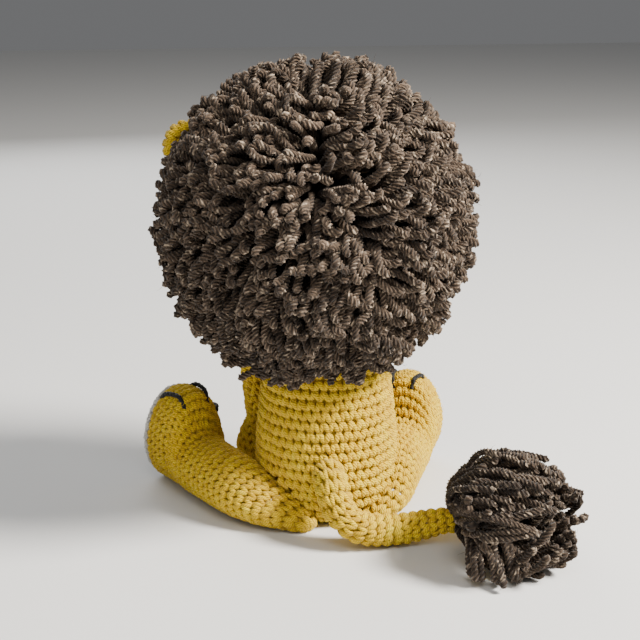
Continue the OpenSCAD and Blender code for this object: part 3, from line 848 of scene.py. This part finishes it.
for s, side in SIDES:
    away = np.array([s * math.cos(EAR_TILT), 0, math.sin(EAR_TILT)])
    c = ear_middle(s)
    ear, rows = lathe(c, away, EAR_PROFILE)

    def ear_pos(row, ang):
        p = ear(row, ang)
        return p + EAR_LONG * ((p - c) @ away)[..., None] * away
    cloth(side + "_ear_fabric", ear_pos, rows, yellow, "head",
          side + "_ear", padded=False, skin_in=0.3,
          keep=lambda p: np.linalg.norm(p - HEAD_C, axis=-1) > 41.5)

for _, side in SIDES:
    for part, look in (("_eye", eye_mat), ("_eye_washer", washer_mat)):
        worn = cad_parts[side + part].data.materials
        worn.clear()
        worn.append(look)

# ------------------------------------------------------------ hidden threads
yarn_line("neck_tie", [[[2, 0, z] for z in (72.5, 79, 85, 91.5)]], 1.15,
          yellow, "torso", "neck_thread")
yarn_line("tail_tie", [[[6, y, 26.5] for y in (22.5, 27, 31, 35.5)]], 0.95,
          yellow, "torso", "tail_thread")
for s, side in SIDES:
    yarn_line(side + "_shoulder_tie",
              [[[s * x, -13, 74] for x in (14.5, 19, 24, 28.5)]], 0.95,
              yellow, "torso", side + "_shoulder_thread")
    yarn_line(side + "_hip_tie",
              [[[*PIN[s], z] for z in (6.5, 14, 23, 30.5)]], 0.95,
              yellow, "torso", side + "_hip_thread")

# ------------------------------------------------------------ loose strands

def strands(soup, path, r, light=0.5):
    """Cut lengths of thick plied yarn with blunt rounded ends."""
    run = run_along(path)
    left = run[:, -1:] - run
    rad = r[:, None] * np.sqrt(np.clip(
        1 - np.square(np.clip(1 - left / (r[:, None] * 1.1), 0, 1)),
        0.10, 1))
    flare = 1 + 0.16 * smoothstep(6, 1, left)
    rad = rad * flare * (1 + 0.05 * np.sin(run * 0.7 + rng.random(
        (len(path), 1)) * TAU))
    tone = np.clip(rng.normal(light, 0.2, len(path)), 0, 1)
    # painted shade: each strand is darker near its root, deep among the others
    soup.tubes(path, rad, 12, lobes=4, depth=0.40, pitch=6.8, tone=tone,
               shade=light - 0.2 + 0.7 * smoothstep(1, 15, run), cap=0.25)


def bend_path(P, K):
    """Cubic curves through four control points each, K points."""
    t = np.linspace(0, 1, K)[None, :, None]
    a, b, c, d = [P[:, i][:, None] for i in range(4)]
    return ((1 - t) ** 3 * a + 3 * (1 - t) ** 2 * t * b
            + 3 * (1 - t) * t * t * c + t ** 3 * d)


def fuzz(soup, path, rad, count, reach=2.6):
    """Loose fibres that stand off the outer half of the strands."""
    K = path.shape[1]
    i = rng.integers(0, len(path), count)
    k = rng.integers(K // 2, K, count)
    at = path[i, k]
    along = unit(path[i, np.minimum(k + 1, K - 1)] - path[i, k - 2])
    out = unit(rng.normal(0, 1, (count, 3)))
    out = unit(out - 0.7 * along * np.sum(out * along, 1, keepdims=True))
    far = reach * rng.uniform(0.4, 1.0, (count, 1))
    curl = unit(rng.normal(0, 1, (count, 3)))
    start = at + out * 0.7 * rad[i, None]
    hair = bend_path(np.stack([
        start, start + out * far * 0.4 + along * far * 0.2,
        start + out * far * 0.6 + curl * far * 0.4,
        start + out * far * 0.7 + curl * far * 0.9], 1), 5)
    thin = np.linspace(0.075, 0.03, 5)[None] * np.ones((count, 1))
    soup.tubes(hair, thin, 3, tone=np.full(count, 0.75))


def swirl_noise(p, scale, seed):
    """A smooth value per point, the same for neighbours."""
    g = np.random.default_rng(seed)
    k = g.normal(0, 1, (10, 3)) / scale
    f = g.random(10) * TAU
    return np.sin(p @ k.T + f).sum(-1) / 3.2


def even_directions(n):
    """n directions spread evenly over a ball."""
    i = np.arange(n) + 0.5
    z = 1 - 2 * i / n
    a = i * math.pi * (1 + 5 ** 0.5)
    r = np.sqrt(1 - z * z)
    return np.stack([r * np.cos(a), r * np.sin(a), z], -1)


# How the mane is combed, seen from behind and a little from the right.
# Each row is a place on the mane's disc, across to the right and up, from
# -1 to 1, then the way the strands lie there and how flat they lie.
SEEN_RIGHT = unit(np.array([-0.979, 0.203, 0.0]))
SEEN_UP = unit(np.array([-0.056, -0.270, 0.961]))
SEEN_OUT = np.cross(SEEN_RIGHT, SEEN_UP)
COMBED = np.array([
    (0.15, 0.26, 1.0, 0.0, 0.5), (0.40, 0.30, 1.0, 0.1, 1.0),
    (0.65, 0.42, 1.0, 0.1, 1.1), (0.75, 0.10, 1.0, -0.3, 1.0),
    (0.45, 0.02, 0.9, -0.4, 1.0), (0.65, -0.30, 0.9, -0.6, 1.1),
    (0.38, -0.30, 0.6, -0.8, 0.9), (0.15, -0.05, 0.3, -1.0, 0.7),
    (0.15, -0.42, 0.1, -1.0, 1.0), (0.40, -0.65, 0.5, -0.9, 1.0),
    (-0.05, -0.75, 0.0, -1.0, 0.8), (-0.10, -0.25, -0.3, -0.9, 0.6),
    (-0.05, 0.12, -0.6, -0.8, 0.9), (-0.35, -0.10, -0.5, -0.8, 0.5),
    (-0.35, -0.50, -0.3, -0.9, 0.6), (-0.65, -0.45, -0.6, -0.8, 0.7),
    (-0.75, 0.00, -0.8, -0.5, 0.6), (-0.45, 0.30, -0.7, -0.6, 0.9),
    (-0.15, 0.38, -0.9, 0.1, 1.0), (-0.38, 0.62, -1.0, 0.1, 1.1),
    (-0.62, 0.52, -0.8, 0.3, 0.9), (0.08, 0.66, 0.1, -0.9, 0.9),
    (-0.08, 0.92, -0.1, 1.0, 0.7), (0.38, 0.72, 0.5, 0.9, 0.8),
    (0.30, 0.90, 0.3, 1.0, 0.7)])


def combed(m):
    """The way strands lie at directions m from the mane's middle, and how
    flat they lie; past the rows they lean away from the back of the head."""
    h = np.sqrt(1 - np.sum(COMBED[:, :2] ** 2, 1))
    at = (COMBED[:, :1] * SEEN_RIGHT + COMBED[:, 1:2] * SEEN_UP
          + h[:, None] * SEEN_OUT)
    way = COMBED[:, 2:3] * SEEN_RIGHT + COMBED[:, 3:4] * SEEN_UP
    w = np.exp(-np.square(np.arccos(np.clip(m @ at.T, -1, 1)) / 0.20))
    rest = 0.02 + smoothstep(0.25, -0.05, m @ SEEN_OUT)
    total = w.sum(1) + rest
    away = m * (m @ SEEN_OUT)[:, None] - SEEN_OUT
    t = (w @ way + unit(away) * rest[:, None]) / total[:, None]
    flat = (w @ COMBED[:, 4] + rest) / total
    t = t - m * np.sum(t * m, 1, keepdims=True)
    return unit(t), flat


CLUMPS = 300
MANE_STEPS = 23         # pieces that a strand of the mane bends in
ROOT_FRONT = -24.5      # no strand grows nearer to the face than this
FACE_FRONT = -30        # and none reaches past this


def grow_mane(n_all, r0, length, phi0, phi1, out, seed):
    """Strands that stand r0 from the mane's middle, lean over from phi0 to
    phi1 the way they are combed, turn back at the distance out and gather in
    clumps with curling tips."""
    g = np.random.default_rng(seed)
    n = unit(even_directions(n_all) + g.normal(0, 0.025, (n_all, 3)))
    keep = (n[:, 1] * r0 > ROOT_FRONT) & (n[:, 2] > -0.95)
    n = n[keep]
    N = len(n)
    low = np.square(np.minimum(n[:, 2], 0))
    L = length * g.uniform(0.90, 1.10, N) * (1 + 0.30 * low)
    p = MANE_C + n * r0
    ds = L / MANE_STEPS
    seeds = unit(even_directions(CLUMPS) + g.normal(0, 0.05, (CLUMPS, 3)))
    clump = np.argmax(n @ seeds.T, 1)
    aim = seeds[clump]
    turn = g.normal(0, 0.50, CLUMPS)[clump]
    swirl = (0.40 * swirl_noise(n, 0.30, seed + 1) + turn
             + g.normal(0, 0.13, N))
    lift = (0.18 * swirl_noise(n, 0.16, seed + 2)
            + g.normal(0, 0.16, CLUMPS)[clump] + g.normal(0, 0.10, N))
    bend = g.normal(0, 0.9, N)
    wob = g.random(N) * TAU
    R_out = out * (1 + 0.10 * low) + g.normal(0, 0.9, N)
    path = [p]
    for k in range(MANE_STEPS):
        s = (k + 1) / MANE_STEPS
        d = p - MANE_C
        rr = np.linalg.norm(d, axis=1)
        m = unit(d)
        t, flat = combed(m)
        side = np.cross(m, t)
        psi = swirl + bend * s * s + 0.22 * np.sin(wob + 6 * s)
        t = around(psi, t, side)
        phi = (phi0 + (phi1 - phi0) * smoothstep(0.05, 0.75, s)) * flat
        phi = phi - lift * s
        # past the outer size a strand turns over and lies down
        over = np.clip((rr - R_out) / 3.0, -1, 1)
        phi = np.clip(phi + 0.60 * np.maximum(over, 0), 0.05, 1.80)
        pull = aim - m * np.sum(aim * m, 1, keepdims=True)
        step = (around(phi, m, t)
                + pull * 2.2 * smoothstep(0.1, 0.6, s)
                - UP * (0.08 + 0.45 * low[:, None]) * s)
        step[:, 1] += 1.2 * smoothstep(-19, -27, p[:, 1])
        p = p + unit(step) * ds[:, None]
        path.append(p)
    return n, np.stack(path, 1), g.uniform(1.48, 1.80, N)


BODY_ROOM = 26.2        # radius kept free for the body
ARM_ROOM = 14           # and this much more beside the shoulders
ROOM_TOP = 87.0         # below this height
EAR_ROOM = 12.8         # radius kept free for an ear
EAR_HALF = 3.4          # and half its thickness


def keep_clear(path, rad):
    """Cut strands short before they enter the body, the room of the arms,
    an ear, the head or the room before the face; drop the shortest."""
    dx = path[..., 0] - 2.0
    dy = path[..., 1]
    rho = np.hypot(dx, dy)
    # degrees from straight behind, to the left or, below 0, to the right
    turn = np.degrees(np.arctan2(dx, dy))
    beside = np.where(turn > 0, smoothstep(71, 96, turn),
                      smoothstep(-52, -76, turn))
    need = BODY_ROOM + ARM_ROOM * beside + rad[:, None]
    bad = (path[..., 2] < ROOM_TOP) & (rho < need)
    for s in (-1, 1):
        q = path - ear_middle(s)
        x = q[..., 0] * s * math.cos(EAR_TILT) + q[..., 2] * math.sin(EAR_TILT)
        z = q[..., 2] * math.cos(EAR_TILT) - q[..., 0] * s * math.sin(EAR_TILT)
        bad |= ((np.abs(q[..., 1]) < EAR_HALF + rad[:, None])
                & (np.hypot(x / (1 + EAR_LONG), z)
                   < EAR_ROOM + rad[:, None]))
    bad |= np.linalg.norm(path - HEAD_C, axis=-1) < HEAD_R + 1.5
    bad |= (path[..., 1] < FACE_FRONT)
    first = np.where(bad.any(1), bad.argmax(1), path.shape[1])
    ok = first > 9
    path, rad, first = path[ok], rad[ok], first[ok]
    K = path.shape[1]
    out = path.copy()
    for i in np.where(first < K)[0]:
        q = np.linspace(0, first[i] - 1, K)
        out[i] = np.concatenate(look_up(q, np.arange(K), *path[i].T), -1)
    return ok, out, rad


SECTORS = ["mane_crown", "mane_left_upper", "mane_left_lower", "mane_nape",
           "mane_right_lower", "mane_right_upper", "mane_back"]


def sector_of(n):
    """Sectors round the Y axis from straight up to the left, then back."""
    ang = np.degrees(np.arctan2(n[:, 0], n[:, 2])) % 360
    k = ((ang + 30) // 60).astype(int) % 6
    cap = n[:, 1] > math.cos(math.radians(36))
    return np.where(cap, 6, k)


fringe = grow_mane(1700, 47.0, 22, 0.35, 1.00, 61.0, 9)
fringe = [a[fringe[0][:, 2] < -0.50] for a in fringe]
under = grow_mane(1150, 46.5, 20, 0.25, 1.05, 59.0, 5)
layers = [[np.concatenate(pair) for pair in zip(under, fringe)],
          grow_mane(2550, 48.5, 19.5, 0.25, 1.00, 63.0, 6)]
for layer, (n, path, rad) in zip(("_under_strands", "_strands"), layers):
    ok, path, rad = keep_clear(path, rad)
    sec = sector_of(n[ok])
    for i, node in enumerate(SECTORS):
        pick = sec == i
        soup = Soup()
        strands(soup, path[pick], rad[pick])
        if layer == "_strands":
            fuzz(soup, path[pick], rad[pick], 2 * pick.sum())
        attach(soup.make(node + layer, brown, node), "head")

# the strands are knotted into a dark backing that hides the head's fabric; its
# near-black colour and shade 0.6 are painted shade deep among the roots
BACKING_OUT, BACKING_IN, BACKING_LOW = 46.8, 43.4, 84.2
soup = Soup()
ring = np.linspace(0, TAU, 97)[:-1]
th = np.radians(np.concatenate([np.linspace(3, 115, 40),
                                np.linspace(115, 3, 30)]))[:, None]
rr = np.concatenate([np.full(40, BACKING_OUT),
                     np.full(30, BACKING_IN)])[:, None]
rr = rr + 0.5 * np.sin(ring * 31 + th * 40) * (rr > 45)
G = np.stack([rr * np.sin(th) * np.cos(ring), rr * np.cos(th) + 0 * ring,
              rr * np.sin(th) * np.sin(ring)], -1) + HEAD_C
G[..., 2] = np.maximum(
    G[..., 2], BACKING_LOW + 0.02 * (G[..., 2] - BACKING_LOW))
soup.skin(G, shade=0.6)
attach(soup.make("mane_backing", scalp_mat, *SECTORS), "head")

# ---------------------------------------------------------------- tail tuft
TIE = np.array([-43.4, 50.9, 11.0])
TUFT_C = np.array([-60.0, 68.5, 20.5])
TUFT_R = np.array([28.5, 28.0, 20.5])
TUFT_POINTS = 44        # along each strand


def tuft_strands(count, seed, low, high, reach, scale):
    """Strands leave the tie all round, bulge and end over the far side."""
    g = np.random.default_rng(seed)
    axis = unit((TUFT_C - TIE) / TUFT_R)
    ex = unit(np.cross(axis, UP))
    ey = np.cross(ex, axis)
    # towards the photograph's camera, and up as it sees it
    see = unit(np.array([0.29, 0.86, 0.42]))
    rise = np.array([-0.13, -0.38, 0.91])
    a = g.uniform(low, high, count)
    th = np.radians(g.uniform(*reach, count))
    k = g.uniform(*scale, (count, 1))
    e = around(a, ex, ey)
    # strands on the near side leave the end of the tail in view
    front = np.clip(e @ see - 0.25 * np.abs(e @ rise), 0, 1)[:, None]
    drift = (ex * g.normal(0, 0.20, (count, 1))
             + ey * g.normal(0, 0.20, (count, 1)))
    S = -axis * (1.0 - 0.12 * front) + g.normal(0, 0.04, (count, 3))
    C1 = (-axis * (1.02 - 0.75 * front) + e * (0.85 - 0.35 * front) * k
          + 0.3 * drift)
    C2 = axis * 0.15 + e * 1.20 * k + drift
    E = around(th, -axis, e) * k
    E = E * g.uniform(0.84, 1.02, (count, 1)) + 1.2 * drift
    path = bend_path(np.stack([S, C1, C2, E], 1), TUFT_POINTS)
    far = np.linalg.norm(path, axis=-1, keepdims=True)
    path = path / np.maximum(far, 1e-6) * np.where(
        far > 0.98, 0.98 + 0.25 * (far - 0.98), far)
    path = TUFT_C + TUFT_R * path
    t = np.linspace(0, 1, TUFT_POINTS)[None, :, None]
    path = path + (g.normal(0, 0.9, (count, 1, 3)) * np.sin(
        t * 8 + g.random((count, 1, 3)) * TAU)) * smoothstep(0, 0.4, t)
    return path, g.uniform(1.42, 1.72, count)


def trailing(count, seed):
    """Strands that fan out of the tie on the near side and lie down."""
    g = np.random.default_rng(seed)
    k = np.arange(count) / (count - 1)
    way = np.radians(14 - 62 * k + g.normal(0, 4, count))
    far = (30 + 14 * np.sin(2.4 * k + 0.5)) * g.uniform(0.85, 1.05, count)
    d = np.stack([np.sin(way), np.cos(way), 0 * way], -1)
    mid = TIE + d * far[:, None] * 0.42 + UP * g.uniform(3, 12, (count, 1))
    end = TIE + d * far[:, None]
    end[:, 2] = 1.8
    lip = end - d * 5 + UP * g.uniform(10, 17, (count, 1))
    start = TIE + np.array([0, 3, 0]) + g.normal(0, 1.0, (count, 3))
    path = bend_path(np.stack([start, mid, lip, end], 1), TUFT_POINTS)
    wob = g.normal(0, 1.0, (count, 1, 3)) * np.sin(
        np.linspace(0, 1, TUFT_POINTS) * 9)[None, :, None]
    return path + wob, g.uniform(1.45, 1.7, count)


def above_floor(path, rad):
    """Ease strands over the floor where they would go through it."""
    lowest = rad[:, None] * 1.1
    z = path[..., 2]
    path[..., 2] = np.where(z < lowest + 2,
                            lowest + 2 * np.exp((z - lowest - 2) / 2), z)
    return path


for name, count, seed, low, high in (
        ("tuft_upper_strands", 135, 31, 0.0, math.pi),
        ("tuft_lower_strands", 96, 32, math.pi, 1.68 * math.pi)):
    sets = [tuft_strands(int(count * 0.62), seed, low, high, (84, 158),
                         (0.84, 1.0)),
            tuft_strands(int(count * 0.38), seed + 10, low, high, (70, 165),
                         (0.40, 0.80))]
    if name == "tuft_lower_strands":
        sets.append(trailing(20, 40))
    path = np.concatenate([a[0] for a in sets])
    rad = np.concatenate([a[1] for a in sets])
    soup = Soup()
    path = above_floor(path, rad)
    # painted shade: the tuft's strands are darker than the mane's, with a
    # lower tone and shade
    strands(soup, path, rad, 0.28)
    fuzz(soup, path, rad, 350)
    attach(soup.make(name, brown, "tail_tuft"), "tuft")

ring = [[-43.8 + 0.6 * math.sin(a), 51.2 + 4.3 * math.cos(a),
         11.4 + 4.1 * math.sin(a)] for a in np.linspace(0, TAU, 13)[:-1]]
yarn_line("tuft_tie", [ring + [ring[0]]], 0.9, yellow, "tail",
          "tail_tip_loop")

# ----------------------------------------------------- camera, light, floor
cam_data = bpy.data.cameras.new("camera")
cam_data.sensor_width = 36
cam_data.lens = 70.3
cam_data.clip_start, cam_data.clip_end = 0.01, 20


def place(name, data, at, aim):
    """Put the camera or a lamp somewhere, looking at a point."""
    o = link(bpy.data.objects.new(name, data))
    o.location = at
    o.rotation_mode = "QUATERNION"
    o.rotation_quaternion = (Vector(aim) - Vector(at)).to_track_quat(
        "-Z", "Y")
    return o


bpy.context.scene.camera = place("camera", cam_data,
                                 (0.10396, 0.48907, 0.225),
                                 (0.00264, -0.00056, 0.0821))


def area(name, at, aim, size, power, color):
    """A round lamp."""
    data = bpy.data.lights.new(name, "AREA")
    data.shape = "DISK"
    data.size = size
    data.energy = power
    data.color = color
    place(name, data, at, aim)


area("key", (-0.74, 0.42, 0.84), (0, 0, 0.08), 0.34, 46, (1.0, 0.95, 0.88))
area("fill", (0.7, 0.6, 0.6), (0, 0, 0.08), 0.9, 1.5, (0.93, 0.96, 1.0))
area("top", (0.05, 0.62, 0.85), (0, 0.03, 0.04), 0.5, 3.2, (1.0, 0.97, 0.93))
area("front", (0.1, -0.9, 0.6), (0, 0, 0.1), 0.9, 6, (1, 1, 1))

world = bpy.data.worlds.new("world")
bpy.context.scene.world = world
world.use_nodes = True
world.node_tree.nodes["Background"].inputs[0].default_value = (
    0.92, 0.93, 0.95, 1)
world.node_tree.nodes["Background"].inputs[1].default_value = 0.17

mesh = bpy.data.meshes.new("floor")
mesh.from_pydata([(-3, -3, 0), (3, -3, 0), (3, 3, 0), (-3, 3, 0)], [],
                 [(0, 1, 2, 3)])
floor = link(bpy.data.objects.new("floor", mesh))
m, nt, bsdf = nodes_of("floor_pale")
bsdf.inputs["Base Color"].default_value = (0.72, 0.72, 0.71, 1)
bsdf.inputs["Roughness"].default_value = 0.8
mesh.materials.append(m)
